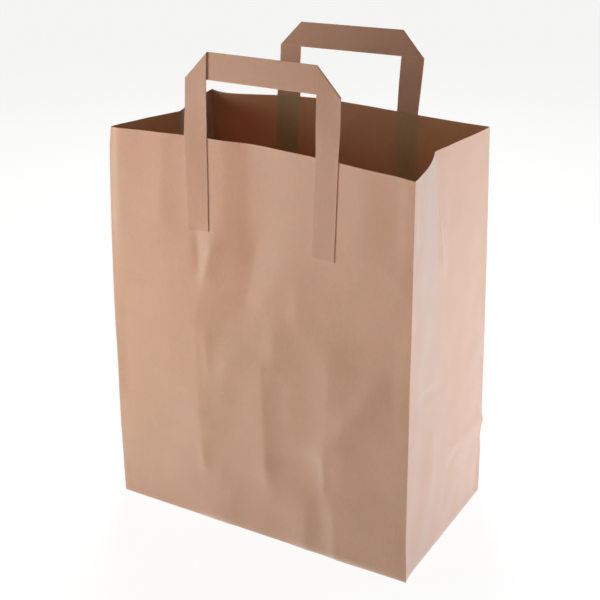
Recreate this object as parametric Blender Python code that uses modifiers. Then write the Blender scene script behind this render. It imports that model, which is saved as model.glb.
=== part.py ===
"""Block-bottom paper carrier bag with two flat folded-tape handles.

Metres, +Z up. X runs along the front panel, the front panel faces -Y, and the
origin is the centre of the base on the surface that the bag stands on.

The body is one sheet of kraft paper, folded and glued into a tube with a gusset in
each side, and closed at the bottom by two overlapping flaps over two triangular
tucks. Each handle is one flat tape that turns two square corners by mitre folds,
with its legs glued to the outside of a panel.
"""

import math

import bpy
import numpy as np

# Body
WIDTH = 0.250
DEPTH = 0.140
HEIGHT = 0.300
PAPER = 0.00015

# Mouth: how far each upright fold has moved at the rim from above its foot (x, y, z),
# and by what power of height
FRONT_LEFT_SHIFT = (0.0013, 0.0102, 0.0)
FRONT_RIGHT_SHIFT = (0.0, -0.0043, -0.0005)
RIGHT_CREASE_SHIFT = (-0.0162, -0.0068, 0.0)
REAR_RIGHT_SHIFT = (-0.0057, -0.0069, 0.0020)
REAR_LEFT_SHIFT = (-0.0020, 0.0073, -0.0003)
LEFT_CREASE_SHIFT = (0.0168, 0.0050, -0.0010)
FRONT_LEFT_EASE = 2.4
EDGE_EASE = 1.4
CREASE_EASE = 1.0
FRONT_BOW = 0.0126
FRONT_BOW_SHAPE = 2.3
PANEL_EASE = 1.5
REAR_BOW = ((0.0, 0.0), (0.10, 0.0012), (0.24, 0.0048), (0.33, 0.0082), (0.76, 0.0080),
            (0.83, 0.0010), (0.90, -0.0046), (0.95, -0.0046), (1.0, 0.0))
GUSSET_BULGES = {
    "right_front": 0.0026,
    "right_rear": 0.0008,
    "left_rear": 0.0015,
    "left_front": 0.0008,
}

# Block bottom: two flaps that overlap on the centre line, and a tuck at each short side
FLAP_OVERLAP = 0.013
FLAP_EDGE_SETBACK = 0.0003
TUCK_PLIES = 2

# Soft folds pressed into the front panel: start x, z, end x, z, half width, depth inwards
FRONT_FOLDS = (
    (0.011, 0.160, 0.009, 0.045, 0.011, 0.0022),
    (-0.012, 0.236, -0.014, 0.180, 0.009, 0.0014),
    (0.056, 0.150, 0.057, 0.070, 0.010, -0.0014),
    (0.011, 0.255, 0.000, 0.190, 0.010, -0.0012),
    (0.046, 0.044, 0.046, 0.006, 0.009, 0.0012),
)

# Handles
TAPE_WIDTH = 0.0182
TAPE_THICKNESS = 0.0005
LEG_SPACING = 0.108
HANDLE_RISE = 0.0592
GLUED_LENGTH = 0.069
FOLD_RADIUS = 0.00045
SEAT_GAP = 0.0003
TWIST_LENGTH = 0.025
FRONT_HANDLE_CENTRE = 0.0018
REAR_HANDLE_CENTRE = -0.0042

# How far each handle leans along Y for each metre above the rim, at its leg nearer -X and nearer +X
FRONT_HANDLE_LEAN = (0.080, 0.050)
REAR_HANDLE_LEAN = (0.080, 0.160)

# How much higher each handle is glued for each metre towards +X
FRONT_HANDLE_TILT = 0.009
REAR_HANDLE_TILT = 0.020

# Mesh steps
FRONT_COLUMNS = 24
REAR_COLUMNS = 18
GUSSET_COLUMNS = 5
WALL_ROWS = 20
TAPE_COLUMNS = 4
GLUED_ROWS = 5
FREE_ROWS = 3
FOLD_ROWS = 6
BAND_ROWS = 6

# Colours and finish
KRAFT = (0.560, 0.365, 0.255, 1.0)
HANDLE_KRAFT = (0.500, 0.325, 0.235, 1.0)
PAPER_ROUGHNESS = 0.85

FLOOR_LIFT = 2 * PAPER
UPRIGHT_FOLDS = {
    "front_left": (-WIDTH / 2, -DEPTH / 2, FRONT_LEFT_SHIFT, 0.0, FRONT_LEFT_EASE),
    "front_right": (WIDTH / 2, -DEPTH / 2, FRONT_RIGHT_SHIFT, 0.0, EDGE_EASE),
    "right_crease": (WIDTH / 2, 0.0, RIGHT_CREASE_SHIFT, DEPTH / 2, CREASE_EASE),
    "rear_right": (WIDTH / 2, DEPTH / 2, REAR_RIGHT_SHIFT, 0.0, EDGE_EASE),
    "rear_left": (-WIDTH / 2, DEPTH / 2, REAR_LEFT_SHIFT, 0.0, EDGE_EASE),
    "left_crease": (-WIDTH / 2, 0.0, LEFT_CREASE_SHIFT, DEPTH / 2, CREASE_EASE),
}
PANELS = {
    "front": ("front_left", "front_right", FRONT_COLUMNS),
    "right_front": ("front_right", "right_crease", GUSSET_COLUMNS),
    "right_rear": ("right_crease", "rear_right", GUSSET_COLUMNS),
    "rear": ("rear_right", "rear_left", REAR_COLUMNS),
    "left_rear": ("rear_left", "left_crease", GUSSET_COLUMNS),
    "left_front": ("left_crease", "front_left", GUSSET_COLUMNS),
}


def clear_scene():
    """Remove every object that the file opened with."""
    for item in list(bpy.data.objects):
        bpy.data.objects.remove(item, do_unlink=True)


def smooth_curve(stations, s):
    """Read a smooth curve through (place, value) stations, with flat ends at each station's mean slope."""
    places = np.array([place for place, _ in stations])
    values = np.array([value for _, value in stations])
    slopes = np.gradient(values, places)
    i = np.clip(np.searchsorted(places, s) - 1, 0, len(places) - 2)
    step = places[i + 1] - places[i]
    t = (s - places[i]) / step
    start = (1 + 2 * t) * (1 - t) ** 2 * values[i] + t * (1 - t) ** 2 * step * slopes[i]
    end = t * t * (3 - 2 * t) * values[i + 1] + t * t * (t - 1) * step * slopes[i + 1]
    return start + end


def risen(z, start):
    """Share of the way from the start height to the rim, none below the start."""
    return np.clip((z - start) / (HEIGHT - start), 0, 1)


def upright_fold(name, z):
    """An upright fold as x, y, z.

    An edge leans from its base corner, and a gusset's crease from where its folds meet.
    """
    x, y, shift, start, power = UPRIGHT_FOLDS[name]
    ease = risen(z, start) ** power
    return x + shift[0] * ease, y + shift[1] * ease, z + shift[2] * z / HEIGHT


def fold_depth(x, z):
    """How far the soft folds push the front panel in: a rounded trough along each fold's line."""
    depth = np.zeros(np.broadcast(x, z).shape)
    for x0, z0, x1, z1, half_width, deep in FRONT_FOLDS:
        along = ((x - x0) * (x1 - x0) + (z - z0) * (z1 - z0)) / ((x1 - x0) ** 2 + (z1 - z0) ** 2)
        along = np.clip(along, 0, 1)
        away = np.hypot(x - x0 - along * (x1 - x0), z - z0 - along * (z1 - z0))
        depth += deep * np.exp(-((away / half_width) ** 2))
    return depth


def panel_surface(panel, s, z):
    """Outer skin of a panel at share s of its width and height z, as x, y, z arrays."""
    first, last, _ = PANELS[panel]
    x0, y0, z0 = upright_fold(first, z)
    x1, y1, z1 = upright_fold(last, z)
    x = x0 + (x1 - x0) * s
    y = y0 + (y1 - y0) * s
    up = z0 + (z1 - z0) * s
    ease = risen(z, 0.0) ** PANEL_EASE
    if panel == "front":
        y = y + FRONT_BOW * ease * (1 - np.abs(2 * s - 1) ** FRONT_BOW_SHAPE) + fold_depth(x, z)
    elif panel == "rear":
        y = y + ease * smooth_curve(REAR_BOW, s)
    else:
        outward = 1 if panel.startswith("right") else -1
        x = x + outward * GUSSET_BULGES[panel] * risen(z, DEPTH / 2) * np.sin(math.pi * s)
    return x, y, up


def skin_y(panel, x, z):
    """Y of a long panel's outer skin at x and z, up to the rim."""
    first, last, _ = PANELS[panel]
    x0 = upright_fold(first, z)[0]
    x1 = upright_fold(last, z)[0]
    return panel_surface(panel, (x - x0) / (x1 - x0), z)[1]


def handle_y(panel, centre, lean, x, z):
    """Y that a handle follows: the panel's skin up to the rim, then a flat leaning plane between its legs.

    Over the twist length each leg turns smoothly from the skin's direction into the plane's.
    """
    free = np.maximum(z - HEIGHT, 0)
    left, right = centre - LEG_SPACING / 2, centre + LEG_SPACING / 2
    left_y, right_y = skin_y(panel, np.array((left, right)), np.full(2, HEIGHT))
    share = (x - left) / (right - left)
    plane = left_y + (right_y - left_y) * share
    turn = np.clip(free / TWIST_LENGTH, 0, 1)
    turn = turn * turn * (3 - 2 * turn)
    skin = skin_y(panel, x, np.minimum(z, HEIGHT))
    return skin + (plane - skin) * turn + (lean[0] + (lean[1] - lean[0]) * share) * free


def mesh_object(name, points, faces, collection):
    """Put points and faces in a new mesh object of the collection."""
    mesh = bpy.data.meshes.new(name)
    mesh.from_pydata([tuple(point) for point in points], [], faces)
    mesh.validate()
    item = bpy.data.objects.new(name, mesh)
    collection.objects.link(item)
    return item


def kraft_material(name, colour):
    """Plain matt paper."""
    material = bpy.data.materials.new(name)
    material.use_nodes = True
    shader = material.node_tree.nodes["Principled BSDF"]
    shader.inputs["Base Color"].default_value = colour
    shader.inputs["Roughness"].default_value = PAPER_ROUGHNESS
    shader.inputs["Metallic"].default_value = 0.0
    material.diffuse_color = colour
    return material


def prism(name, outline, low, high, collection):
    """A flat outline drawn up from low to high."""
    bottom = [(x, y, low) for x, y in outline]
    top = [(x, y, high) for x, y in outline]
    count = len(outline)
    faces = [tuple(reversed(range(count))), tuple(range(count, 2 * count))]
    faces += [(i, (i + 1) % count, count + (i + 1) % count, count + i) for i in range(count)]
    return mesh_object(name, bottom + top, faces, collection)


def body_skin(collection):
    """The folded sheet's outer skin: panels lofted from the base rectangle to the mouth, and the floor."""
    heights = np.linspace(FLOOR_LIFT, HEIGHT, WALL_ROWS + 1)
    rings = []
    for z in heights:
        ring = []
        for panel, (_, _, count) in PANELS.items():
            s = np.arange(count) / count
            x, y, up = panel_surface(panel, s, np.full(count, z))
            ring += list(zip(x, y, up))
        rings.append(ring)
    around = len(rings[0])
    points = [point for ring in rings for point in ring]
    faces = [tuple(reversed(range(around)))]
    for row in range(WALL_ROWS):
        for i in range(around):
            j = (i + 1) % around
            low, high = row * around, (row + 1) * around
            faces.append((low + i, low + j, high + j, high + i))
    return mesh_object("bag_body", points, faces, collection)


def flap_outline(side):
    """One bottom flap: as wide as the bag at its fold, with sides turned in at 45 degrees."""
    reach = DEPTH / 2 + FLAP_OVERLAP
    wide = WIDTH / 2 - FLAP_EDGE_SETBACK
    root = DEPTH / 2 - FLAP_EDGE_SETBACK
    narrow = wide - reach
    outline = [(-wide, -root), (wide, -root), (narrow, reach - root), (-narrow, reach - root)]
    return outline if side == "front" else [(-x, -y) for x, y in outline]


def tuck_outline(side):
    """One triangular tuck on the floor: its base on the short side, its point half a gusset in."""
    wide = WIDTH / 2 - FLAP_EDGE_SETBACK
    root = DEPTH / 2 - FLAP_EDGE_SETBACK
    outline = [(wide, -root), (wide, root), (wide - root, 0.0)]
    return outline if side == "right" else [(-x, -y) for x, y in outline]


def bag_body(collection, cutters):
    """The body: the skin given its paper's thickness inwards, joined to the plies of the block bottom."""
    body = body_skin(collection)
    wall = body.modifiers.new("paper", "SOLIDIFY")
    wall.thickness = PAPER
    wall.offset = -1
    wall.use_even_offset = True
    inside_floor = FLOOR_LIFT + PAPER / 2
    plies = (
        ("front_flap", flap_outline("front"), 0.0, inside_floor),
        ("rear_flap", flap_outline("rear"), PAPER, inside_floor),
        ("right_tuck", tuck_outline("right"), inside_floor, FLOOR_LIFT + PAPER * (1 + TUCK_PLIES)),
        ("left_tuck", tuck_outline("left"), inside_floor, FLOOR_LIFT + PAPER * (1 + TUCK_PLIES)),
    )
    for name, outline, low, high in plies:
        ply = prism(name, outline, low, high, cutters)
        ply.hide_render = True
        ply.display_type = "WIRE"
        join = body.modifiers.new(name, "BOOLEAN")
        join.operation = "UNION"
        join.object = ply
    return body


def mitre_fold(across, up, corner_up):
    """Roll a rising tape about the 45 degree line through its corner, so that it runs on level behind itself.

    Past the line the tape follows a half cylinder of the fold's radius, then lies flat again,
    mirrored in the line and two radii nearer the panel.
    """
    root_half = math.sqrt(0.5)
    past = (up - corner_up - across) * root_half + math.pi * FOLD_RADIUS / 2
    turned = np.clip(past, 0, math.pi * FOLD_RADIUS)
    beyond = past - turned
    back = np.where(past > 0, past - FOLD_RADIUS * np.sin(turned / FOLD_RADIUS) + beyond, 0)
    depth = FOLD_RADIUS * (1 - np.cos(turned / FOLD_RADIUS))
    return across + back * root_half, up - back * root_half, depth


def half_tape():
    """One leg, its corner fold and half the band: across, up and depth of each row of points.

    Rows are square at the leg's end and at the handle's middle, and lie along the fold between.
    """
    corner_up = HANDLE_RISE - TAPE_WIDTH / 2
    across = np.linspace(-TAPE_WIDTH / 2, TAPE_WIDTH / 2, TAPE_COLUMNS + 1)
    half_fold = math.pi * FOLD_RADIUS / math.sqrt(2)
    stations = [(up, 0.0) for up in np.linspace(-GLUED_LENGTH, 0, GLUED_ROWS + 1)]
    stations += [(up, up / (corner_up - half_fold))
                 for up in np.linspace(0, corner_up - half_fold, FREE_ROWS + 1)[1:]]
    stations += [(corner_up + turn, 1.0)
                 for turn in np.linspace(-half_fold, half_fold, FOLD_ROWS + 1)[1:]]
    middle = LEG_SPACING / 2
    stations += [(corner_up + run, 1 - (run - half_fold) / (middle - half_fold))
                 for run in np.linspace(half_fold, middle, BAND_ROWS + 1)[1:]]
    rows = [mitre_fold(across, up + slant * across, corner_up) for up, slant in stations]
    return [(row_across - middle, row_up, depth) for row_across, row_up, depth in rows]


def handle(name, panel, centre, lean, tilt, collection):
    """A folded tape laid on the outside of a long panel, its band nearer the bag than its legs."""
    left = half_tape()
    right = [(-across, up, depth) for across, up, depth in reversed(left[:-1])]
    outward = -1 if panel == "front" else 1
    points = []
    for across, up, depth in left + right:
        x = centre + across
        z = HEIGHT + up + tilt * across
        middle = SEAT_GAP + TAPE_THICKNESS / 2 - depth
        y = handle_y(panel, centre, lean, x, z) + outward * middle
        points += list(zip(x, y, z))
    wide = TAPE_COLUMNS + 1
    faces = []
    for row in range(len(left) + len(right) - 1):
        for column in range(TAPE_COLUMNS):
            start = row * wide + column
            faces.append((start, start + 1, start + wide + 1, start + wide))
    tape = mesh_object(name, points, faces, collection)
    plies = tape.modifiers.new("tape", "SOLIDIFY")
    plies.thickness = TAPE_THICKNESS
    plies.offset = 0
    plies.use_even_offset = True
    return tape


def main():
    clear_scene()
    parts = bpy.data.collections.new("paper_carrier_bag")
    cutters = bpy.data.collections.new("base_plies")
    bpy.context.scene.collection.children.link(parts)
    bpy.context.scene.collection.children.link(cutters)
    body = bag_body(parts, cutters)
    body.data.materials.append(kraft_material("kraft_sheet", KRAFT))
    for name, panel, centre, lean, tilt in (
        ("front_handle", "front", FRONT_HANDLE_CENTRE, FRONT_HANDLE_LEAN, FRONT_HANDLE_TILT),
        ("rear_handle", "rear", REAR_HANDLE_CENTRE, REAR_HANDLE_LEAN, REAR_HANDLE_TILT),
    ):
        tape = handle(name, panel, centre, lean, tilt, parts)
        tape.data.materials.append(kraft_material(name + "_tape", HANDLE_KRAFT))


main()
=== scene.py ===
"""Looks of a brown kraft paper carrier bag: its folded sheet, its two tape handles and a white studio.

Metres, +Z up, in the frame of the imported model: X runs along the front panel, the front
panel faces -Y, and the origin is the centre of the base.
"""

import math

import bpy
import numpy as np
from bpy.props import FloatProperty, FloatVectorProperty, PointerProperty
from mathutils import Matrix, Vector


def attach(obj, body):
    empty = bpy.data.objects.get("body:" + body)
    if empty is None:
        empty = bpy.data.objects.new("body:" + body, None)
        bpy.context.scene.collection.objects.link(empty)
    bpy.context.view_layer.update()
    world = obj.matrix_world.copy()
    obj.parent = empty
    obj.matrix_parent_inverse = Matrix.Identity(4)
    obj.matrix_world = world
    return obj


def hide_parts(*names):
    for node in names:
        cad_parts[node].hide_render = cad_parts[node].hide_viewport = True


bl_info = {
    "name": "Paper Carrier Bag",
    "version": (1, 0, 0),
    "blender": (4, 5, 0),
    "location": "3D View > Sidebar > Carrier Bag",
    "description": "Block-bottom kraft paper bag with flat folded-tape handles, in a white studio",
    "category": "Add Mesh",
}

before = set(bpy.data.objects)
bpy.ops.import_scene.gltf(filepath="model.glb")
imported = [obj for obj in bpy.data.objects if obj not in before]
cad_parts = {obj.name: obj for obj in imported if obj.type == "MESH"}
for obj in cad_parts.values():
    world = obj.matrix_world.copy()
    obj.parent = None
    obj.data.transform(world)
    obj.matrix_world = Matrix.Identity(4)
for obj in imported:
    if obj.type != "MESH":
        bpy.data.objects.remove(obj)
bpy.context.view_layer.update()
MM = 0.001

# Mouth: shift of each upright fold at the rim (x, y, z), where it starts to lean and by what power of height
FOLDS = {
    "front_left": ((-1, -1), (0.0013, 0.0102, 0.0), 0.0, 2.4),
    "front_right": ((1, -1), (0.0, -0.0043, -0.0005), 0.0, 1.4),
    "right_crease": ((1, 0), (-0.0162, -0.0068, 0.0), 0.5, 1.0),
    "rear_right": ((1, 1), (-0.0057, -0.0069, 0.0020), 0.0, 1.4),
    "rear_left": ((-1, 1), (-0.0020, 0.0073, -0.0003), 0.0, 1.4),
    "left_crease": ((-1, 0), (0.0168, 0.0050, -0.0010), 0.5, 1.0),
}
PANELS = ("front", "right_front", "right_rear", "rear", "left_rear", "left_front")
LONG_PANELS = ("front", "rear")

# Bow of each panel at the rim, and by what power of height the long panels' bows grow
FRONT_BOW = 0.0126
FRONT_BOW_SHAPE = 2.3
PANEL_EASE = 1.5
REAR_BOW = ((0.0, 0.0), (0.10, 0.0012), (0.24, 0.0048), (0.33, 0.0082), (0.76, 0.0080),
            (0.83, 0.0010), (0.90, -0.0046), (0.95, -0.0046), (1.0, 0.0))
GUSSET_BULGES = {"right_front": 0.0026, "right_rear": 0.0008, "left_rear": 0.0015, "left_front": 0.0008}

# A gusset's centre crease is sharp at the rim and has opened out below this height
CREASE_OPEN_HEIGHT = 0.190
CREASE_OPEN_SOFTNESS = 0.45
CREASE_RIM_SOFTNESS = 0.03

# Folds are rounded over this length each side, and the foot of the walls over this height
FOLD_ROUNDING = 0.0006
FOOT_ROUNDING = 0.0008

# Mesh columns beside a fold, rows above the foot and below the rim, and the steps between them
FOLD_COLUMNS = (0.0003, 0.0008, 0.0018)
FOOT_ROWS = (0.0001, 0.0003, 0.0008)
RIM_ROWS = (0.0012, 0.0004)
COLUMN_STEP = 0.0017
ROW_STEP = 0.0036

# Reach of the paler paper beside the folds and the foot, which is wear, and along the rim, which is a painted
# highlight
FOLD_WEAR = 0.0009
RIM_PAINTED_HIGHLIGHT = 0.0010
RIM_HIGHLIGHT_SHARE = 0.8
FOOT_WEAR = 0.0010
FOOT_WEAR_TOP = 0.003

# Creases in millimetres on a panel, seen from outside: (start across, up), (end across, up), reach to the
# left and to the right of the line seen from its lower end, height outwards, and sharpness
FRONT_CREASES = (
    ((-44, 56), (-51, 162), 46, 16, 3.0, 1.25),
    ((-50, 94), (-20, 138), 12, 14, 1.6, 1.5),
    ((-27, 110), (-22, 130), 10, 13, 1.6, 1.6),
    ((-39.5, 135), (-41.5, 153), 5, 6, 1.2, 1.3),
    ((-44.5, 48), (-45, 60), 4, 8, 1.2, 1.3),
    ((-45, 42), (-34, 58), 6, 9, -0.9, 1.4),
    ((-9, 190), (-2, 226), 12, 15, -2.6, 1.6),
    ((-6, 252), (-10, 300), 20, 32, -3.8, 1.8),
    ((5, 190), (19, 210), 8, 10, 0.9, 1.6),
    ((35, 182), (32.5, 204), 5, 12, 0.8, 1.4),
    ((-48.5, 208), (-50.5, 224), 4, 7, -1.8, 1.3),
    ((-42, 203), (-38, 221), 6, 9, 2.9, 1.5),
    ((11.5, 62), (6.5, 138), 24, 11, 3.6, 1.35),
    ((12, 50), (11, 66), 6, 6, 0.8, 1.4),
    ((31, 100), (30, 128), 10, 14, 0.8, 1.7),
    ((17, 149), (17, 159), 8, 20, 2.2, 1.9),
    ((61.5, 96), (61.5, 154), 16, 18, 2.6, 1.5),
    ((60, 88), (98, 142), 12, 17, 3.1, 1.5),
    ((72, 98), (76, 116), 10, 13, 2.0, 1.5),
    ((87, 120), (91, 134), 10, 12, 1.4, 1.6),
    ((60, 58), (61, 82), 6, 3, 1.7, 1.1),
    ((-115, 96), (-114, 162), 8, 20, -1.0, 1.7),
    ((-115, 236), (-115, 300), 10, 24, 1.8, 1.6),
    ((-80, 240), (-80, 300), 16, 11, 1.3, 1.6),
    ((87, 244), (86, 300), 21, 24, 2.2, 1.6),
    ((-28, 246), (-28, 300), 12, 20, 1.3, 1.7),
    ((44, 0), (45, 34), 16, 10, 2.6, 1.6),
    ((71, 0), (69, 36), 9, 34, 4.0, 1.6),
    ((-25, 2), (-19, 32), 14, 8, 1.4, 1.5),
    ((-30, 42), (-29, 46), 4, 5, 0.9, 1.5),
    ((-38, 0), (-38, 8), 8, 10, 0.7, 1.5),
    ((-104, 22), (-78, 56), 18, 24, -2.2, 1.6),
    ((106, 24), (101, 66), 22, 14, 0.4, 1.7),
    ((111, 198), (113, 232), 14, 8, 0.7, 1.6),
    ((112, 130), (111, 180), 30, 6, -1.0, 1.5),
    ((112, 252), (112, 300), 30, 6, -0.8, 1.5),
)
RIGHT_CREASES = (
    ((62, 6), (14, 60), 10, 30, -1.5, 1.4),
    ((20, 66), (58, 70), 9, 20, 0.9, 1.3),
    ((13, 60), (16, 61), 3, 3, -1.2, 1.2),
    ((-5, 224), (-6, 246), 4, 3.5, 1.9, 1.2),
    ((2, 236), (2, 252), 3, 4, 0.7, 1.3),
    ((-1, 206), (-2, 220), 6, 6, 0.5, 1.5),
    ((-42, 136), (-16, 131), 2.5, 3, -0.9, 1.1),
    ((10, 139), (16, 139), 4, 4, -0.35, 1.4),
    ((40, 142), (45, 143), 4, 4, -0.35, 1.4),
    ((-60, 236), (-12, 224), 20, 12, 0.9, 1.4),
    ((-64, 108), (-20, 96), 6, 6, 0.3, 1.2),
    ((-30, 60), (-28, 96), 12, 14, 0.5, 1.6),
)
LEFT_CREASES = (
    ((-68, 3), (-15, 60), 10, 20, 0.8, 1.1),
    ((-70, 68), (-26, 68), 14, 8, 0.6, 1.1),
    ((20, 138), (58, 141), 4, 4, -0.3, 1.2),
    ((66, 4), (12, 62), 10, 12, 0.4, 1.1),
)
REAR_CREASES = (
    ((-122, 70), (122, 70), 6, 6, -0.5, 1.1),
    ((-118, 140), (60, 141), 7, 7, 0.35, 1.2),
    ((-60, 18), (-52, 60), 12, 16, 0.7, 1.4),
    ((40, 90), (34, 190), 18, 14, 0.9, 1.5),
    ((-30, 150), (-44, 226), 14, 18, 0.8, 1.5),
    ((90, 20), (70, 66), 12, 14, 0.6, 1.4),
)
CREASES = {
    "front": FRONT_CREASES, "rear": REAR_CREASES,
    "right_front": RIGHT_CREASES, "right_rear": RIGHT_CREASES,
    "left_front": LEFT_CREASES, "left_rear": LEFT_CREASES,
}

# A crease rounds off past its ends over this many millimetres plus this share of its mean reach
CREASE_END_REACH = (5.0, 0.8)

# Relief grows to its full height over these many millimetres from a fold and from the foot, and this share
# of that growth is there at the foot already
FOLD_FADE = 7.0
FOOT_FADE = 8.0
FOOT_START = 0.3

# Knocks on the upright folds, in millimetres: height, half height, reach along the panels, shift x, shift y
KNOCKS = {
    "front_left": ((118, 26, 9, 1.3, -0.9), (300, 9, 10, 1.0, 0.4)),
    "rear_right": ((66, 5, 12, 1.2, 0.3), (51, 7, 12, -0.5, -0.3)),
    "front_right": ((150, 30, 8, -0.3, 0.3), (4, 20, 5, 1.6, -0.5)),
    "rear_left": ((90, 18, 10, 0.8, -0.6),),
}

# Slow unevenness of the whole sheet: number, spread of directions in radians, wave lengths and height
WAVE_COUNT = 14
WAVE_TURN = 0.6
WAVE_LENGTHS = (0.022, 0.075)
WAVE_HEIGHT = 0.00022

# Block bottom: how far a flap passes the centre line, its setback from the folds, how soon its root comes
# down from the wall, the tucks' inset, and the gap between glued plies
FLAP_OVERLAP = 0.013
FLAP_SETBACK = 0.0003
FLAP_ROOT = 0.0006
FLAP_ROOT_ROWS = (0, 0.002, 0.005, 0.01)
TUCK_INSET = 0.0008
PLY_GAP = 0.00002

# Glued lap of the tube: its width and its distance from the rear left fold
LAP_WIDTH = 0.014
LAP_INSET = 0.008

# Handles: where each one sits, its lean along Y at its two legs and its tilt, and for each leg how far it
# turns aside below the rim, the slope of its cut end, and how much shorter it is
FRONT_HANDLE = {"panel": "front", "centre": 0.0016, "lean": (0.080, 0.050), "tilt": 0.009,
                "skew": (0.048, -0.014), "cut": (0.10, 0.0), "short": (0.0026, 0.0)}
REAR_HANDLE = {"panel": "rear", "centre": -0.0042, "lean": (0.080, 0.160), "tilt": 0.020,
               "skew": (0.0, 0.01), "cut": (0.02, -0.03), "short": (0.0, 0.0012)}
TAPE_FOLD_RADIUS = 0.00045
TAPE_PLY = 0.00017
# Reach of the paler band along the tape's folded -X edge: a painted highlight
TAPE_EDGE_HIGHLIGHT = 0.0008
TAPE_EDGE_POINTS = (0.00008, 0.0003)
SEAT_GAP = 0.00005
TWIST_LENGTH = 0.025

# A leg's +X edge stands off the panel by this much, by this much more at its end and at its corner, from
# this many widths below the band's top, over the half of the leg beyond its middle
EDGE_LIFT = 0.00012
END_LIFT = 0.0001
CORNER_LIFT = 0.0004
CORNER_LIFT_START = 2.2
LIFT_POWER = 1.6

# Glue presses a leg's plies together by this share at its end and its -X edge, over this reach, and fully
# from this far below the rim
PRESS_SHARE = 0.6
PRESS_REACH = 0.0015
PRESS_START = 0.006

# Kraft pulp: scales of its parts per metre, how much slower fibres change upwards, how narrow the long
# fibres are, radius of a speck in its cell, share of noise above which specks lie, and how pale wear and
# painted highlights are
CLOUD_SCALE = 70.0
FIBRE_SCALE = 900.0
LONG_FIBRE_SCALE = 420.0
SPECK_SCALE = 260.0
PATCH_SCALE = 130.0
FIBRE_STRETCH = 0.35
LONG_FIBRE_NARROWNESS = 14.0
SPECK_RADIUS = 0.085
PATCH_THRESHOLD = 0.60
WEAR_AND_HIGHLIGHT_PALENESS = 0.10
EDGE_PALENESS = 1.12

# Studio: soft boxes as name, power setting, place, side and colour, and the camera
LAMPS = (
    ("key_box", "key", (-0.330, -0.335, 0.266), 0.3, (1.0, 1.0, 1.0)),
    ("fill_box", "fill", (0.330, -0.400, 0.250), 0.3, (1.0, 1.0, 1.0)),
    ("side_box", "side", (0.468, 0.170, 0.194), 0.3, (0.97, 1.0, 1.12)),
    ("back_box", "back", (-0.424, 0.735, 0.999), 0.5, (1.0, 1.0, 1.0)),
)
LAMP_TARGET = (0.0, 0.0, 0.15)
FLOOR_SIZE = 12.0
TABLE_COLOUR = (0.8, 0.8, 0.8, 1.0)
TABLE_GLOW_COLOUR = (1.0, 0.96, 0.91, 1.0)
TABLE_WHITE_SHARE = 0.85
CAMERA_PLACE = (0.403905, -0.695108, 0.509167)
CAMERA_TURN = 30.1785
CAMERA_DOWN = 23.0165
CAMERA_ROLL = -0.3677


def risen(z, start, height):
    """Share of the way from the start height to the rim, none below the start."""
    return np.clip((z - start) / (height - start), 0, 1)


def smooth_step(t):
    """3t^2 - 2t^3 between 0 and 1."""
    t = np.clip(t, 0, 1)
    return t * t * (3 - 2 * t)


def smooth_curve(stations, s):
    """Cubic Hermite curve through (place, value) stations, with the mean slope at each."""
    places = np.array([place for place, _ in stations])
    values = np.array([value for _, value in stations])
    slopes = np.gradient(values, places)
    i = np.clip(np.searchsorted(places, s) - 1, 0, len(places) - 2)
    step = places[i + 1] - places[i]
    t = (s - places[i]) / step
    start = (1 + 2 * t) * (1 - t) ** 2 * values[i] + t * (1 - t) ** 2 * step * slopes[i]
    end = t * t * (3 - 2 * t) * values[i + 1] + t * t * (t - 1) * step * slopes[i + 1]
    return start + end


def fold_line(sheet, name, z):
    """An upright fold: its base corner plus its rim shift times (share of height risen) ^ power."""
    (side_x, side_y), shift, start, power = FOLDS[name]
    ease = risen(z, start * sheet.depth, sheet.height) ** power
    x = side_x * sheet.width / 2 + shift[0] * ease
    y = side_y * sheet.depth / 2 + shift[1] * ease
    return x, y, z + shift[2] * z / sheet.height


def panel_folds(panel):
    """Names of the two upright folds that a panel lies between, first and last as it runs round the bag."""
    names = tuple(FOLDS)
    at = PANELS.index(panel)
    return names[at], names[(at + 1) % len(names)]


def panel_width(sheet, panel):
    """Width of a panel at the base: a gusset's two panels are half its depth each."""
    return sheet.width if panel in LONG_PANELS else sheet.depth / 2


def panel_bow(sheet, panel, s, z):
    """How far a long panel is bowed along +Y at share s of its width and height z."""
    ease = risen(z, 0.0, sheet.height) ** PANEL_EASE
    if panel == "front":
        return ease * FRONT_BOW * (1 - np.abs(2 * s - 1) ** FRONT_BOW_SHAPE)
    return ease * smooth_curve(REAR_BOW, s)


def crease_relief(creases, across, up):
    """Height of the creases outwards, in millimetres.

    Each crease falls off as exp(-(distance / reach) ^ sharpness), with its own reach on each
    side of its line, and rounds off past its ends.
    """
    total = np.zeros(np.broadcast(across, up).shape)
    for (x0, z0), (x1, z1), left, right, high, sharpness in creases:
        length = math.hypot(x1 - x0, z1 - z0)
        along = ((across - x0) * (x1 - x0) + (up - z0) * (z1 - z0)) / length
        aside = ((across - x0) * (z1 - z0) - (up - z0) * (x1 - x0)) / length
        past_end = np.maximum(np.maximum(-along, along - length), 0)
        reach = np.where(aside < 0, left, right)
        end_reach = CREASE_END_REACH[0] + CREASE_END_REACH[1] * (left + right) / 2
        away = np.hypot(aside / reach, past_end / end_reach)
        total += high * np.exp(-(away ** sharpness))
    return total


def sheet_waves(seed, across, up):
    """Slow waves of the paper: a sum of seeded plane waves over a panel, mostly upright, in metres."""
    draw = np.random.default_rng(seed)
    total = np.zeros(np.broadcast(across, up).shape)
    for _ in range(WAVE_COUNT):
        turn = draw.normal(0, WAVE_TURN)
        length = draw.uniform(*WAVE_LENGTHS)
        phase = draw.uniform(0, 2 * math.pi)
        total += np.sin(2 * math.pi * (math.cos(turn) * across + math.sin(turn) * up) / length + phase)
    return WAVE_HEIGHT * total / math.sqrt(WAVE_COUNT)


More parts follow.
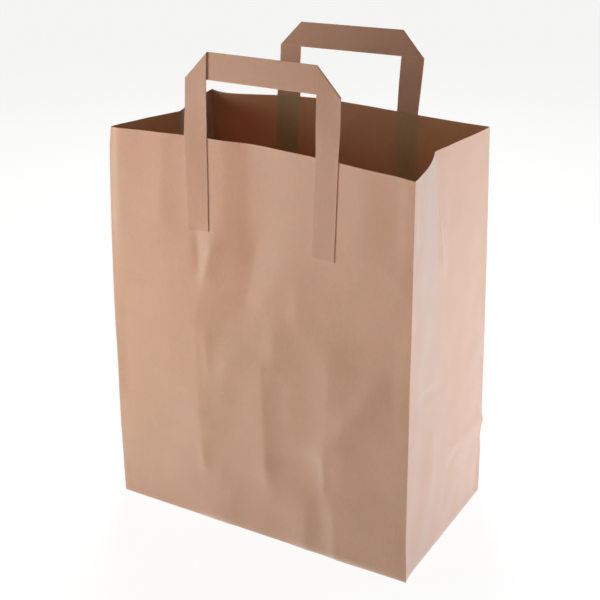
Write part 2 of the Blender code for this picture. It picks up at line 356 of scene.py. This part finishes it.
def opened_crease(share, z, sheet):
    """Share of a gusset's tuck at a share of the way from its edge to its centre crease.

    A straight fold has share itself. Lower down the crease has opened out into a curve,
    1 - (sqrt((1 - share)^2 + c^2) - c) / (sqrt(1 + c^2) - c), where c grows with depth below the rim.
    """
    below = 1 - smooth_step(risen(z, CREASE_OPEN_HEIGHT, sheet.height))
    c = CREASE_RIM_SOFTNESS + (CREASE_OPEN_SOFTNESS - CREASE_RIM_SOFTNESS) * below
    return 1 - (np.sqrt((1 - share) ** 2 + c * c) - c) / (np.sqrt(1 + c * c) - c)


def panel_relief(sheet, panel, s, across, z):
    """How far a panel's creases and waves stand out from it, less towards its edges and its foot."""
    first, last = panel_folds(panel)
    width = panel_width(sheet, panel)
    fade = smooth_step(FOOT_START + z / MM / FOOT_FADE)
    if not first.endswith("crease"):
        fade = fade * smooth_step(s * width / MM / FOLD_FADE)
    if not last.endswith("crease"):
        fade = fade * smooth_step((1 - s) * width / MM / FOLD_FADE)
    creases = crease_relief(CREASES[panel], across / MM, z / MM) * MM
    return sheet.wrinkles * fade * (creases + sheet_waves(PANELS.index(panel), across, z))


def panel_point(sheet, panel, s, z):
    """Outer skin of a panel at share s of its width and height z, as x, y, z.

    A straight loft between the panel's two folds, plus its bow, its creases and the sheet's waves
    along the panel's outward axis, and the knocks on its folds.
    """
    first, last = panel_folds(panel)
    x0, y0, z0 = fold_line(sheet, first, z)
    x1, y1, z1 = fold_line(sheet, last, z)
    tuck = s
    if last.endswith("crease"):
        tuck = opened_crease(s, z, sheet)
    elif first.endswith("crease"):
        tuck = 1 - opened_crease(1 - s, z, sheet)
    x = x0 + (x1 - x0) * (s if panel in LONG_PANELS else tuck)
    y = y0 + (y1 - y0) * s
    up = z0 + (z1 - z0) * s
    from_first = s * panel_width(sheet, panel) / MM
    from_last = (1 - s) * panel_width(sheet, panel) / MM
    across = x if panel in LONG_PANELS else y
    relief = panel_relief(sheet, panel, s, across, z)
    if panel in LONG_PANELS:
        outward = 1 if panel == "rear" else -1
        y = y + panel_bow(sheet, panel, s, z) + outward * relief
    else:
        outward = 1 if panel.startswith("right") else -1
        bulge = GUSSET_BULGES[panel] * risen(z, sheet.depth / 2, sheet.height) * np.sin(math.pi * s)
        x = x + outward * (bulge + relief)
    for fold, distance in ((first, from_first), (last, from_last)):
        for height, half, reach, shift_x, shift_y in KNOCKS.get(fold, ()):
            strength = np.exp(-((up / MM - height) / half) ** 2 - distance / reach)
            x = x + shift_x * MM * strength
            y = y + shift_y * MM * strength
    return np.stack(np.broadcast_arrays(x, y, up))


def panel_lengths(sheet):
    """Width of each panel round the base."""
    return np.array([panel_width(sheet, panel) for panel in PANELS])


def wall_point(sheet, along, z):
    """The sheet at a distance round the bag from the front left fold, with every fold rounded.

    The rounding is the mean of the flat-sided shape over a short length each side.
    """
    ends = np.cumsum(panel_lengths(sheet))
    total = 0
    steps = np.linspace(-FOLD_ROUNDING, FOLD_ROUNDING, 5)
    for step in steps:
        place = np.mod(along + step, ends[-1])
        which = np.searchsorted(ends, place, side="right")
        point = np.zeros((3,) + along.shape)
        for i, panel in enumerate(PANELS):
            here = which == i
            if here.any():
                length = panel_lengths(sheet)[i]
                s = (place[here] - (ends[i] - length)) / length
                point[:, here] = panel_point(sheet, panel, s, z[here])
        total = total + point
    return total / len(steps)


def wall_columns(sheet):
    """Distances round the bag of the mesh's columns, closer together beside each fold."""
    near = np.array(FOLD_COLUMNS)
    columns = []
    start = 0.0
    for length in panel_lengths(sheet):
        count = round((length - 2 * near[-1]) / COLUMN_STEP)
        middle = np.linspace(near[-1], length - near[-1], count + 1)
        columns.append(start + np.concatenate(([0], near[:-1], middle, length - near[-2::-1])))
        start += length
    return np.concatenate(columns)


def wall_rows(sheet):
    """Heights of the mesh's rows, closer together at the foot and the rim."""
    foot = 2 * sheet.paper + np.array((0.0,) + FOOT_ROWS)
    top = sheet.height - np.array(RIM_ROWS + (0.0,))
    count = round((top[0] - foot[-1]) / ROW_STEP)
    middle = np.linspace(foot[-1], top[0], count + 1)
    return np.concatenate((foot[:-1], middle, top[1:]))


def grid_faces(rows, columns, closed=False):
    """Quads of a grid whose points run column by column in each row, as an index array."""
    wide = columns if closed else columns - 1
    row, column = np.meshgrid(np.arange(rows - 1), np.arange(wide), indexing="ij")
    beside = (column + 1) % columns
    corners = (row * columns + column, row * columns + beside,
               (row + 1) * columns + beside, (row + 1) * columns + column)
    return np.stack([corner.ravel() for corner in corners], axis=1)


def mesh_piece(name, points, faces, wear_and_highlight=None):
    """A smooth-shaded mesh object at the origin from (3, n) points and a list of faces."""
    mesh = bpy.data.meshes.new(name)
    mesh.from_pydata(points.T.tolist(), [], [list(map(int, face)) for face in faces])
    if wear_and_highlight is not None:
        attribute = mesh.attributes.new("fold_wear", "FLOAT", "POINT")
        attribute.data.foreach_set("value", wear_and_highlight.astype(np.float32))
    mesh.shade_smooth()
    piece = bpy.data.objects.new(name, mesh)
    bpy.context.scene.collection.objects.link(piece)
    return piece


def body_walls(sheet):
    """Walls and floor of the body: points, faces and how pale each point is, from wear at its folds and foot
    and from a painted highlight along the rim.

    The foot is rounded by drawing each low ring in by r - sqrt(r^2 - (r - h)^2) at height h.
    """
    columns, rows = wall_columns(sheet), wall_rows(sheet)
    z, along = np.meshgrid(rows, columns, indexing="ij")
    point = wall_point(sheet, along, z)
    height = np.clip(z - 2 * sheet.paper, 0, FOOT_ROUNDING)
    drawn_in = FOOT_ROUNDING - np.sqrt(FOOT_ROUNDING ** 2 - (FOOT_ROUNDING - height) ** 2)
    point[0] *= 1 - drawn_in / (sheet.width / 2)
    point[1] *= 1 - drawn_in / (sheet.depth / 2)
    faces = grid_faces(len(rows), len(columns), closed=True).tolist()
    faces.append(list(range(len(columns)))[::-1])
    folds = np.concatenate(([0], np.cumsum(panel_lengths(sheet))))
    is_edge = np.array([not name.endswith("crease") for name in FOLDS] + [True])
    to_fold = np.abs(along[..., None] - folds[is_edge]).min(axis=-1)
    to_rim = sheet.height - z
    # Paleness at the folds and the foot is wear; the paler band along the rim is a painted highlight
    wear_and_highlight = np.exp(-((to_fold / FOLD_WEAR) ** 2)) + RIM_HIGHLIGHT_SHARE * np.exp(-((to_rim / RIM_PAINTED_HIGHLIGHT) ** 2))
    wear_and_highlight += np.exp(-((height / FOOT_WEAR) ** 2)) * (z < FOOT_WEAR_TOP)
    return point.reshape(3, -1), faces, np.clip(wear_and_highlight, 0, 1).ravel()


def flap(sheet, side, low):
    """A bottom flap's underside: a trapezoid from its fold past the centre line, its sides at 45 degrees.

    Its root rises to the foot of the wall that it continues.
    """
    reach = sheet.depth / 2 + FLAP_OVERLAP
    wide = sheet.width / 2 - FLAP_SETBACK
    rows = np.concatenate((FLAP_ROOT_ROWS, np.linspace(0.03, 1, 26)))
    v, u = np.meshgrid(rows, np.linspace(-1, 1, 61), indexing="ij")
    run = v * reach
    x = u * (wide - run)
    y = -sheet.depth / 2 + FLAP_SETBACK + run
    z = low + (2 * sheet.paper - low) * np.exp(-((run / FLAP_ROOT) ** 2))
    if side == "rear":
        x, y = -x, -y
    faces = grid_faces(*v.shape)[:, ::-1]
    return np.stack([x.ravel(), y.ravel(), z.ravel()]), faces.tolist()


def tuck(sheet, side):
    """A triangular tuck on the floor inside: its base on the short side, its point half a gusset in."""
    wide = sheet.width / 2 - TUCK_INSET
    half = sheet.depth / 2 - TUCK_INSET
    v, u = np.meshgrid(np.linspace(0, 1, 15), np.linspace(-1, 1, 31), indexing="ij")
    x = wide - v * half
    y = u * half * (1 - v)
    z = np.full(x.shape, 4 * sheet.paper + PLY_GAP)
    if side == "left":
        x, y = -x, -y
    faces = grid_faces(*v.shape)
    return np.stack([x.ravel(), y.ravel(), z.ravel()]), faces[:, ::-1].tolist()


def lap(sheet):
    """The glued lap of the tube: a strip of the sheet's other edge, laid on the left gusset's rear half."""
    lengths = panel_lengths(sheet)
    start = lengths[:4].sum() + LAP_INSET
    z, along = np.meshgrid(wall_rows(sheet)[3:], np.linspace(start, start + LAP_WIDTH, 9), indexing="ij")
    point = wall_point(sheet, along, z)
    point[0] -= sheet.paper + PLY_GAP
    return point.reshape(3, -1), grid_faces(*z.shape).tolist()


def bag_sheet(sheet):
    """The whole sheet as one piece: walls, floor, bottom flaps, tucks and lap, each a paper's thickness."""
    wall_points, wall_faces, wear_and_highlight = body_walls(sheet)
    parts = [(wall_points, wall_faces), flap(sheet, "front", 0.0),
             flap(sheet, "rear", sheet.paper + PLY_GAP),
             tuck(sheet, "right"), tuck(sheet, "left"), lap(sheet)]
    points, faces, offset = [], [], 0
    for part_points, part_faces in parts:
        points.append(part_points)
        faces += [[index + offset for index in face] for face in part_faces]
        offset += part_points.shape[1]
    wear_and_highlight_all = np.zeros(offset)
    wear_and_highlight_all[:len(wear_and_highlight)] = wear_and_highlight
    piece = mesh_piece("bag_body_sheet", np.concatenate(points, axis=1), faces, wear_and_highlight_all)
    skin = piece.modifiers.new("paper", "SOLIDIFY")
    skin.thickness = sheet.paper
    skin.offset = -1
    skin.use_even_offset = True
    skin.material_offset = 1
    skin.material_offset_rim = 2
    return piece


def skin_y(sheet, panel, x, z):
    """Y of a long panel's outer skin at x and z, up to the rim."""
    first, last = panel_folds(panel)
    x0, y0, _ = fold_line(sheet, first, z)
    x1, y1, _ = fold_line(sheet, last, z)
    s = (x - x0) / (x1 - x0)
    outward = 1 if panel == "rear" else -1
    relief = panel_relief(sheet, panel, s, x, z)
    return y0 + (y1 - y0) * s + panel_bow(sheet, panel, s, z) + outward * relief


def handle_y(sheet, tape, place, x, z):
    """Y that a handle follows: the panel's skin up to the rim, then a flat leaning plane between its legs.

    Over the twist length each leg turns smoothly from the skin's direction into the plane's.
    """
    free = np.maximum(z - sheet.height, 0)
    left, right = place["centre"] - tape.spacing / 2, place["centre"] + tape.spacing / 2
    left_y, right_y = skin_y(sheet, place["panel"], np.array((left, right)), np.full(2, sheet.height))
    share = (x - left) / (right - left)
    plane = left_y + (right_y - left_y) * share
    turn = smooth_step(free / TWIST_LENGTH)
    skin = skin_y(sheet, place["panel"], x, np.minimum(z, sheet.height))
    lean = place["lean"]
    return skin + (plane - skin) * turn + (lean[0] + (lean[1] - lean[0]) * share) * free


def mitre_fold(across, up, offset, corner_up):
    """Roll a rising tape about the 45 degree line through its corner, so that it runs on level behind itself.

    Before the line a layer at an offset from the tape's middle stays flat. It then follows a half
    cylinder of the fold's radius plus its offset, and lies flat again, mirrored in the line.
    """
    root_half = math.sqrt(0.5)
    radius = TAPE_FOLD_RADIUS
    past = (up - corner_up - across) * root_half + math.pi * radius / 2
    turned = np.clip(past, 0, math.pi * radius)
    angle = turned / radius
    along = np.where(past > 0, (radius + offset) * np.sin(angle) - (past - turned), past)
    depth = radius - (radius + offset) * np.cos(angle)
    return across + (past - along) * root_half, up - (past - along) * root_half, depth


def tape_section(tape):
    """Middle line of the folded tape's section: in along the outer ply, round its folded edge, and back.

    Returns across, the offset of each ply and how near each point is to the folded edge, which sets a painted
    highlight along that edge.
    """
    half, lift = tape.width / 2, (tape.thickness - TAPE_PLY) / 2
    near = np.array(TAPE_EDGE_POINTS)
    ply = np.concatenate(([half], half - near, np.linspace(half, -half + lift, 13)[1:-1],
                          -half + lift + near[::-1], [-half + lift]))
    bend = np.linspace(math.pi / 2, 3 * math.pi / 2, 7)[1:-1]
    across = np.concatenate((ply, -half + lift + lift * np.cos(bend), ply[::-1]))
    offset = np.concatenate((np.full(len(ply), lift), lift * np.sin(bend), np.full(len(ply), -lift)))
    return across, offset, np.exp(-((across + half) / TAPE_EDGE_HIGHLIGHT) ** 2)


def tape_stations(sheet, tape):
    """Rows along half a handle, from a leg's end to the band's middle: (height or run, slant).

    Rows are square to the leg at its end, lie along the mitre at the corner, and stand upright at the middle.
    """
    corner_up = tape.rise - tape.width / 2
    half_fold = math.pi * TAPE_FOLD_RADIUS / math.sqrt(2)
    middle = tape.spacing / 2
    rows = [(near - tape.glued, 0.0) for near in (0.0,) + TAPE_EDGE_POINTS]
    rows += [(up, 0.0) for up in np.linspace(-tape.glued, 0, 25)[1:]]
    rows += [(up, up / (corner_up - half_fold)) for up in np.linspace(0, corner_up - half_fold, 19)[1:]]
    rows += [(corner_up + turn, 1.0) for turn in np.linspace(-half_fold, half_fold, 11)[1:]]
    rows += [(corner_up + run, 1 - (run - half_fold) / (middle - half_fold))
             for run in np.linspace(half_fold, middle, 19)[1:]]
    return rows


def edge_lift(tape, aside, up, depth):
    """How far a leg's +X edge stands off the panel, while the rest of the leg lies flat.

    aside is the place across the leg from its -X edge, as a share. The curl grows towards the
    leg's end and towards its corner, and the band doesn't curl.
    """
    curl = EDGE_LIFT + END_LIFT * smooth_step(-up / tape.glued)
    curl = curl + CORNER_LIFT * smooth_step((up - tape.rise) / tape.width + CORNER_LIFT_START)
    on_leg = 1 - smooth_step(depth / (2 * TAPE_FOLD_RADIUS))
    return curl * np.clip(2 * aside - 1, 0, 1) ** LIFT_POWER * on_leg


def handle(sheet, tape, name, place):
    """A tape folded in two plies, its legs on the outside of a long panel and its band behind the mitres.

    The glue has pressed its plies together near a leg's end and its -X edge.
    """
    across, offset, edge = tape_section(tape)
    stations = tape_stations(sheet, tape)
    slant = np.array([row[1] for row in stations])[:, None]
    up = np.array([row[0] for row in stations])[:, None] + slant * across
    corner_up = tape.rise - tape.width / 2
    rolled_across, rolled_up, depth = mitre_fold(across, up, offset, corner_up)
    outward = -1 if place["panel"] == "front" else 1
    halves = []
    for side in (-1, 1):
        aside = side * (tape.spacing / 2 - rolled_across)
        share = (aside - side * tape.spacing / 2) / tape.width + 0.5
        lift = edge_lift(tape, share, rolled_up, depth)
        glued = np.maximum(-rolled_up, 0)
        z = sheet.height + rolled_up + place["tilt"] * aside
        leg = (side + 1) // 2
        cut = place["short"][leg] + place["cut"][leg] * (aside - side * tape.spacing / 2)
        z = z + cut * (glued / tape.glued) ** 3
        aside = aside + place["skew"][leg] * glued
        x = place["centre"] + aside
        to_edge = np.minimum(tape.glued - glued, share * tape.width)
        pressed = PRESS_SHARE * np.exp(-to_edge / PRESS_REACH) * smooth_step(glued / PRESS_START)
        lift = lift - pressed * ((tape.thickness - TAPE_PLY) / 2 + offset)
        y = handle_y(sheet, tape, place, x, z) + outward * (SEAT_GAP + tape.thickness / 2 - depth + lift)
        halves.append(np.stack([x, y, z]))
    points = np.concatenate((halves[0], halves[1][:, -2::-1]), axis=1)
    count = points.shape[1]
    faces = grid_faces(count, len(across))
    if outward == -1:
        faces = faces[:, ::-1]
    # Paler along the tape's folded edge: a painted highlight
    wear_and_highlight = np.broadcast_to(edge, points.shape[1:]).ravel()
    piece = mesh_piece(name, points.reshape(3, -1), faces.tolist(), wear_and_highlight)
    ply = piece.modifiers.new("ply", "SOLIDIFY")
    ply.thickness = TAPE_PLY
    ply.offset = 0
    ply.use_even_offset = True
    return piece


class Shader:
    """A node tree with short calls to add nodes and join them."""

    def __init__(self, tree):
        self.tree = tree

    def node(self, kind, settings=None, **inputs):
        """Add a node, set its properties, and set or join its inputs by name or, as _0 and _1, by number."""
        node = self.tree.nodes.new("ShaderNode" + kind)
        for key, value in (settings or {}).items():
            setattr(node, key, value)
        for key, value in inputs.items():
            socket = node.inputs[int(key[1:])] if key[0] == "_" else node.inputs[key.replace("_", " ")]
            if isinstance(value, bpy.types.NodeSocket):
                self.tree.links.new(value, socket)
            else:
                socket.default_value = value
        return node

    def math(self, operation, a, b=0.0, clamp=False):
        """One Math node's result."""
        return self.node("Math", {"operation": operation, "use_clamp": clamp}, _0=a, _1=b).outputs[0]

    def noise(self, vector, scale, detail, **inputs):
        """A Noise texture's value, about 0.5 on average."""
        return self.node("TexNoise", Vector=vector, Scale=scale, Detail=detail, **inputs).outputs["Fac"]


def pulp_group():
    """Node group for the look of kraft pulp: formation clouds, fibres, specks, and paler wear and painted
    highlights.

    Brightness is 1 + clouds + fine fibres - long fibres - specks + wear and painted highlight. Height follows
    the fibres, and roughness the clouds.
    """
    group = bpy.data.node_groups.new("Kraft Pulp", "ShaderNodeTree")
    sockets = (("Vector", "NodeSocketVector", None), ("Colour", "NodeSocketColor", None),
               ("Clouds", "NodeSocketFloat", 0.12), ("Fibres", "NodeSocketFloat", 0.09),
               ("Specks", "NodeSocketFloat", 0.25), ("Wear", "NodeSocketFloat", 0.0),
               ("Roughness", "NodeSocketFloat", 0.6))
    for name, kind, value in sockets:
        socket = group.interface.new_socket(name, in_out="INPUT", socket_type=kind)
        if value is not None:
            socket.default_value = value
    results = (("Colour", "NodeSocketColor"), ("Roughness", "NodeSocketFloat"), ("Height", "NodeSocketFloat"))
    for name, kind in results:
        group.interface.new_socket(name, in_out="OUTPUT", socket_type=kind)
    shader = Shader(group)
    given = group.nodes.new("NodeGroupInput")
    put = group.nodes.new("NodeGroupOutput")
    place = given.outputs["Vector"]
    stretched = shader.node("Mapping", Vector=place, Scale=(1.0, 1.0, FIBRE_STRETCH)).outputs[0]
    clouds = shader.noise(place, CLOUD_SCALE, 3.0)
    fine = shader.noise(stretched, FIBRE_SCALE, 4.0, Roughness=0.7)
    veins = shader.noise(stretched, LONG_FIBRE_SCALE, 3.0, Distortion=1.6)
    from_vein = shader.math("ABSOLUTE", shader.math("SUBTRACT", veins, 0.5))
    thin = shader.math("SUBTRACT", 1.0, shader.math("MULTIPLY", from_vein, LONG_FIBRE_NARROWNESS), clamp=True)
    cells = shader.node("TexVoronoi", Vector=place, Scale=SPECK_SCALE)
    spot = shader.math("LESS_THAN", cells.outputs["Distance"], SPECK_RADIUS)
    patch = shader.math("GREATER_THAN", shader.noise(place, PATCH_SCALE, 0.0), PATCH_THRESHOLD)
    spots = shader.math("MULTIPLY", spot, patch)
    cloud_part = shader.math("MULTIPLY", shader.math("SUBTRACT", clouds, 0.5), given.outputs["Clouds"])
    fine_part = shader.math("MULTIPLY", shader.math("SUBTRACT", fine, 0.5), given.outputs["Fibres"])
    thin_part = shader.math("MULTIPLY", thin, shader.math("MULTIPLY", given.outputs["Fibres"], -0.5))
    spot_part = shader.math("MULTIPLY", spots, shader.math("MULTIPLY", given.outputs["Specks"], -1.0))
    # Paler paper from wear at folds and foot, and painted highlights on the rim and the tape's folded edge
    wear_and_highlight_part = shader.math("MULTIPLY", given.outputs["Wear"], WEAR_AND_HIGHLIGHT_PALENESS)
    level = 1.0
    for part in (cloud_part, fine_part, thin_part, spot_part, wear_and_highlight_part):
        level = shader.math("ADD", part, level)
    scaled = shader.node("VectorMath", {"operation": "SCALE"}, _0=given.outputs["Colour"], Scale=level)
    rough = shader.math("ADD", given.outputs["Roughness"], shader.math("MULTIPLY", cloud_part, 1.5))
    height = shader.math("ADD", fine, shader.math("MULTIPLY", thin, 0.5))
    group.links.new(scaled.outputs[0], put.inputs["Colour"])
    group.links.new(rough, put.inputs["Roughness"])
    group.links.new(height, put.inputs["Height"])
    return group


def kraft_material(name, colour, pulp, roughness):
    """Unbleached kraft: the pulp group's results on a shader with a soft sheen and some subsurface light."""
    material = bpy.data.materials.new(name)
    material.use_nodes = True
    tree = material.node_tree
    shader = Shader(tree)
    surface = tree.nodes["Principled BSDF"]
    place = shader.node("TexCoord").outputs["Object"]
    # Paleness from wear at folds and foot, and painted highlights along the rim and the tape's folded edge
    wear_and_highlight = shader.node("Attribute", {"attribute_name": "fold_wear"}).outputs["Fac"]
    look = tree.nodes.new("ShaderNodeGroup")
    look.node_tree = pulp
    tree.links.new(place, look.inputs["Vector"])
    tree.links.new(wear_and_highlight, look.inputs["Wear"])
    look.inputs["Colour"].default_value = (*colour, 1.0)
    look.inputs["Roughness"].default_value = roughness
    bump = shader.node("Bump", Strength=0.25, Distance=0.00012, Height=look.outputs["Height"])
    tree.links.new(look.outputs["Colour"], surface.inputs["Base Color"])
    tree.links.new(look.outputs["Roughness"], surface.inputs["Roughness"])
    tree.links.new(bump.outputs["Normal"], surface.inputs["Normal"])
    surface.inputs["Sheen Weight"].default_value = 1.0
    surface.inputs["Sheen Roughness"].default_value = 0.55
    surface.inputs["Subsurface Weight"].default_value = 0.5
    surface.inputs["Subsurface Radius"].default_value = (1.0, 0.55, 0.30)
    surface.inputs["Subsurface Scale"].default_value = 0.0004
    return material


def seen_rays(shader):
    """1 for rays from the camera, a reflection or through glass, 0 for those that light the object."""
    path = shader.node("LightPath")
    mirrored = shader.math("MAXIMUM", path.outputs["Is Glossy Ray"], path.outputs["Is Transmission Ray"])
    return shader.math("MAXIMUM", path.outputs["Is Camera Ray"], mirrored)


def glowing_table(strength):
    """A lit white table that also glows up at the object, and is white to the rays that are seen.

    The camera still sees a share of the lit surface, so the table keeps a faint shadow of the object.
    """
    material = bpy.data.materials.new("studio_white")
    material.use_nodes = True
    tree = material.node_tree
    shader = Shader(tree)
    surface = tree.nodes["Principled BSDF"]
    surface.inputs["Base Color"].default_value = TABLE_COLOUR
    surface.inputs["Roughness"].default_value = 0.9
    surface.inputs["Specular IOR Level"].default_value = 0.0
    surface.inputs["Emission Color"].default_value = TABLE_GLOW_COLOUR
    surface.inputs["Emission Strength"].default_value = strength
    white = shader.node("Emission", Strength=1.0)
    share = shader.math("MULTIPLY", seen_rays(shader), TABLE_WHITE_SHARE)
    mix = shader.node("MixShader", _0=share, _1=surface.outputs[0], _2=white.outputs[0])
    tree.links.new(mix.outputs[0], tree.nodes["Material Output"].inputs["Surface"])
    return material


def white_world(strength):
    """White to the rays that are seen, and an even light of the given strength to the object."""
    world = bpy.data.worlds.new("studio")
    bpy.context.scene.world = world
    world.use_nodes = True
    tree = world.node_tree
    shader = Shader(tree)
    level = shader.node("Math", {"operation": "MULTIPLY_ADD"}, _0=seen_rays(shader), _1=1.0 - strength,
                        _2=strength)
    tree.links.new(level.outputs[0], tree.nodes["Background"].inputs["Strength"])
    tree.nodes["Background"].inputs["Color"].default_value = (1.0, 1.0, 1.0, 1.0)


def area_lamp(name, place, size, power, colour):
    """A square soft box at a place, facing the middle of the bag."""
    data = bpy.data.lights.new(name, "AREA")
    data.shape = "SQUARE"
    data.size = size
    data.energy = power
    data.color = colour
    lamp = bpy.data.objects.new(name, data)
    lamp.location = place
    lamp.rotation_euler = (Vector(LAMP_TARGET) - Vector(place)).to_track_quat("-Z", "Y").to_euler()
    bpy.context.scene.collection.objects.link(lamp)


class CarrierSheetSettings(bpy.types.PropertyGroup):
    """Sizes and colours of the folded sheet."""

    width: FloatProperty(name="Width", description="Base width along the front panel", default=0.250,
                         min=0.1, max=0.5, unit="LENGTH")
    depth: FloatProperty(name="Depth", description="Base depth, the width of a gusset", default=0.140,
                         min=0.05, max=0.3, unit="LENGTH")
    height: FloatProperty(name="Height", description="Height of the rim above the base", default=0.300,
                          min=0.1, max=0.6, unit="LENGTH")
    paper: FloatProperty(name="Paper", description="Thickness of the kraft sheet", default=0.00015,
                         min=0.00005, max=0.001, precision=5, unit="LENGTH")
    wrinkles: FloatProperty(name="Wrinkles", description="Strength of the handling creases", default=1.0,
                            min=0.0, max=2.0, subtype="FACTOR")
    colour: FloatVectorProperty(name="Kraft", description="Colour of the sheet's smooth outer side",
                                default=(0.572, 0.313, 0.175), min=0.0, max=1.0, subtype="COLOR")
    inside: FloatVectorProperty(name="Inside", description="Colour of the sheet's rougher inner side",
                                default=(0.460, 0.285, 0.122), min=0.0, max=1.0, subtype="COLOR")


class CarrierTapeSettings(bpy.types.PropertyGroup):
    """Sizes and colour of the handle tapes."""

    width: FloatProperty(name="Tape Width", description="Width of the folded tape", default=0.0187,
                         min=0.005, max=0.04, unit="LENGTH")
    thickness: FloatProperty(name="Tape Thickness", description="Thickness of the folded tape",
                             default=0.0005, min=0.0004, max=0.002, precision=5, unit="LENGTH")
    spacing: FloatProperty(name="Leg Spacing", description="Distance between the legs' middles",
                           default=0.108, min=0.04, max=0.3, unit="LENGTH")
    rise: FloatProperty(name="Rise", description="Height of the band's top above the rim", default=0.0592,
                        min=0.03, max=0.2, unit="LENGTH")
    glued: FloatProperty(name="Glued Length", description="Length of each leg below the rim", default=0.069,
                         min=0.02, max=0.2, unit="LENGTH")
    colour: FloatVectorProperty(name="Tape Kraft", description="Colour of the tape",
                                default=(0.535, 0.262, 0.136), min=0.0, max=1.0, subtype="COLOR")


class CarrierStudioSettings(bpy.types.PropertyGroup):
    """Powers of the lamps and the camera's lens."""

    key: FloatProperty(name="Key", description="Power of the soft box at the front left", default=1.28,
                       min=0.0, unit="POWER")
    fill: FloatProperty(name="Fill", description="Power of the soft box at the front right", default=0.24,
                        min=0.0, unit="POWER")
    side: FloatProperty(name="Side", description="Power of the soft box at the right", default=1.46,
                        min=0.0, unit="POWER")
    back: FloatProperty(name="Back", description="Power of the high soft box behind", default=12.2,
                        min=0.0, unit="POWER")
    table: FloatProperty(name="Table", description="Glow of the white table at the object", default=0.41,
                         min=0.0, max=2.0, subtype="FACTOR")
    ambient: FloatProperty(name="Ambient", description="Strength of the even light from all round",
                           default=0.0, min=0.0, max=1.0, subtype="FACTOR")
    lens: FloatProperty(name="Lens", description="Focal length on a 36 mm sensor", default=69.33,
                        min=20.0, max=200.0, unit="CAMERA")


class CarrierAddBody(bpy.types.Operator):
    """Add the folded kraft sheet of the body"""

    bl_idname = "carrier.add_body"
    bl_label = "Add Body"

    def execute(self, context):
        sheet = context.scene.carrier_sheet
        pulp = bpy.data.node_groups["Kraft Pulp"]
        piece = bag_sheet(sheet)
        edge = tuple(min(1.0, EDGE_PALENESS * level) for level in sheet.colour)
        piece.data.materials.append(kraft_material("kraft_sheet_outside", sheet.colour, pulp, 0.55))
        piece.data.materials.append(kraft_material("kraft_sheet_inside", sheet.inside, pulp, 0.75))
        piece.data.materials.append(kraft_material("kraft_sheet_edge", edge, pulp, 0.8))
        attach(piece, "root")
        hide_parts("bag_body")
        return {"FINISHED"}


class CarrierAddHandles(bpy.types.Operator):
    """Add the two folded-tape handles"""

    bl_idname = "carrier.add_handles"
    bl_label = "Add Handles"

    def execute(self, context):
        sheet, tape = context.scene.carrier_sheet, context.scene.carrier_tape
        pulp = bpy.data.node_groups["Kraft Pulp"]
        finish = kraft_material("kraft_tape", tape.colour, pulp, 0.6)
        for node, place in (("front_handle", FRONT_HANDLE), ("rear_handle", REAR_HANDLE)):
            piece = handle(sheet, tape, node + "_tape", place)
            piece.data.materials.append(finish)
            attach(piece, "root")
            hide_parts(node)
        return {"FINISHED"}


class CarrierAddStudio(bpy.types.Operator):
    """Add the white floor, the soft boxes and the camera"""

    bl_idname = "carrier.add_studio"
    bl_label = "Add Studio"

    def execute(self, context):
        studio = context.scene.carrier_studio
        bpy.ops.mesh.primitive_plane_add(size=FLOOR_SIZE)
        floor = context.active_object
        floor.name = "studio_floor"
        floor.data.materials.append(glowing_table(studio.table))
        for name, power, place, size, colour in LAMPS:
            area_lamp(name, place, size, getattr(studio, power), colour)
        white_world(studio.ambient)
        add_camera(studio)
        context.scene.view_settings.view_transform = "Standard"
        return {"FINISHED"}


def add_camera(studio):
    """The camera at the photograph's place, right of the front, looking down, with a slight roll."""
    data = bpy.data.cameras.new("camera")
    data.lens = studio.lens
    data.sensor_width = 36.0
    camera = bpy.data.objects.new("camera", data)
    turn = Matrix.Rotation(math.radians(CAMERA_TURN), 4, "Z")
    tilt = Matrix.Rotation(math.radians(90.0 - CAMERA_DOWN), 4, "X")
    roll = Matrix.Rotation(math.radians(CAMERA_ROLL), 4, "Z")
    camera.matrix_world = Matrix.Translation(CAMERA_PLACE) @ turn @ tilt @ roll
    bpy.context.scene.collection.objects.link(camera)
    bpy.context.scene.camera = camera


class CarrierPanel(bpy.types.Panel):
    """Settings and builders of the carrier bag"""

    bl_idname = "VIEW3D_PT_carrier_bag"
    bl_label = "Carrier Bag"
    bl_space_type = "VIEW_3D"
    bl_region_type = "UI"
    bl_category = "Carrier Bag"

    def draw(self, context):
        scene = context.scene
        for settings in (scene.carrier_sheet, scene.carrier_tape, scene.carrier_studio):
            box = self.layout.box()
            for name in settings.__annotations__:
                box.prop(settings, name)
        for operator in (CarrierAddBody, CarrierAddHandles, CarrierAddStudio):
            self.layout.operator(operator.bl_idname)


CLASSES = (CarrierSheetSettings, CarrierTapeSettings, CarrierStudioSettings,
           CarrierAddBody, CarrierAddHandles, CarrierAddStudio, CarrierPanel)


def register():
    for each in CLASSES:
        bpy.utils.register_class(each)
    bpy.types.Scene.carrier_sheet = PointerProperty(type=CarrierSheetSettings)
    bpy.types.Scene.carrier_tape = PointerProperty(type=CarrierTapeSettings)
    bpy.types.Scene.carrier_studio = PointerProperty(type=CarrierStudioSettings)


def unregister():
    del bpy.types.Scene.carrier_studio
    del bpy.types.Scene.carrier_tape
    del bpy.types.Scene.carrier_sheet
    for each in reversed(CLASSES):
        bpy.utils.unregister_class(each)


def main():
    register()
    pulp_group()
    bpy.ops.carrier.add_body()
    bpy.ops.carrier.add_handles()
    bpy.ops.carrier.add_studio()


if __name__ == "__main__":
    main()
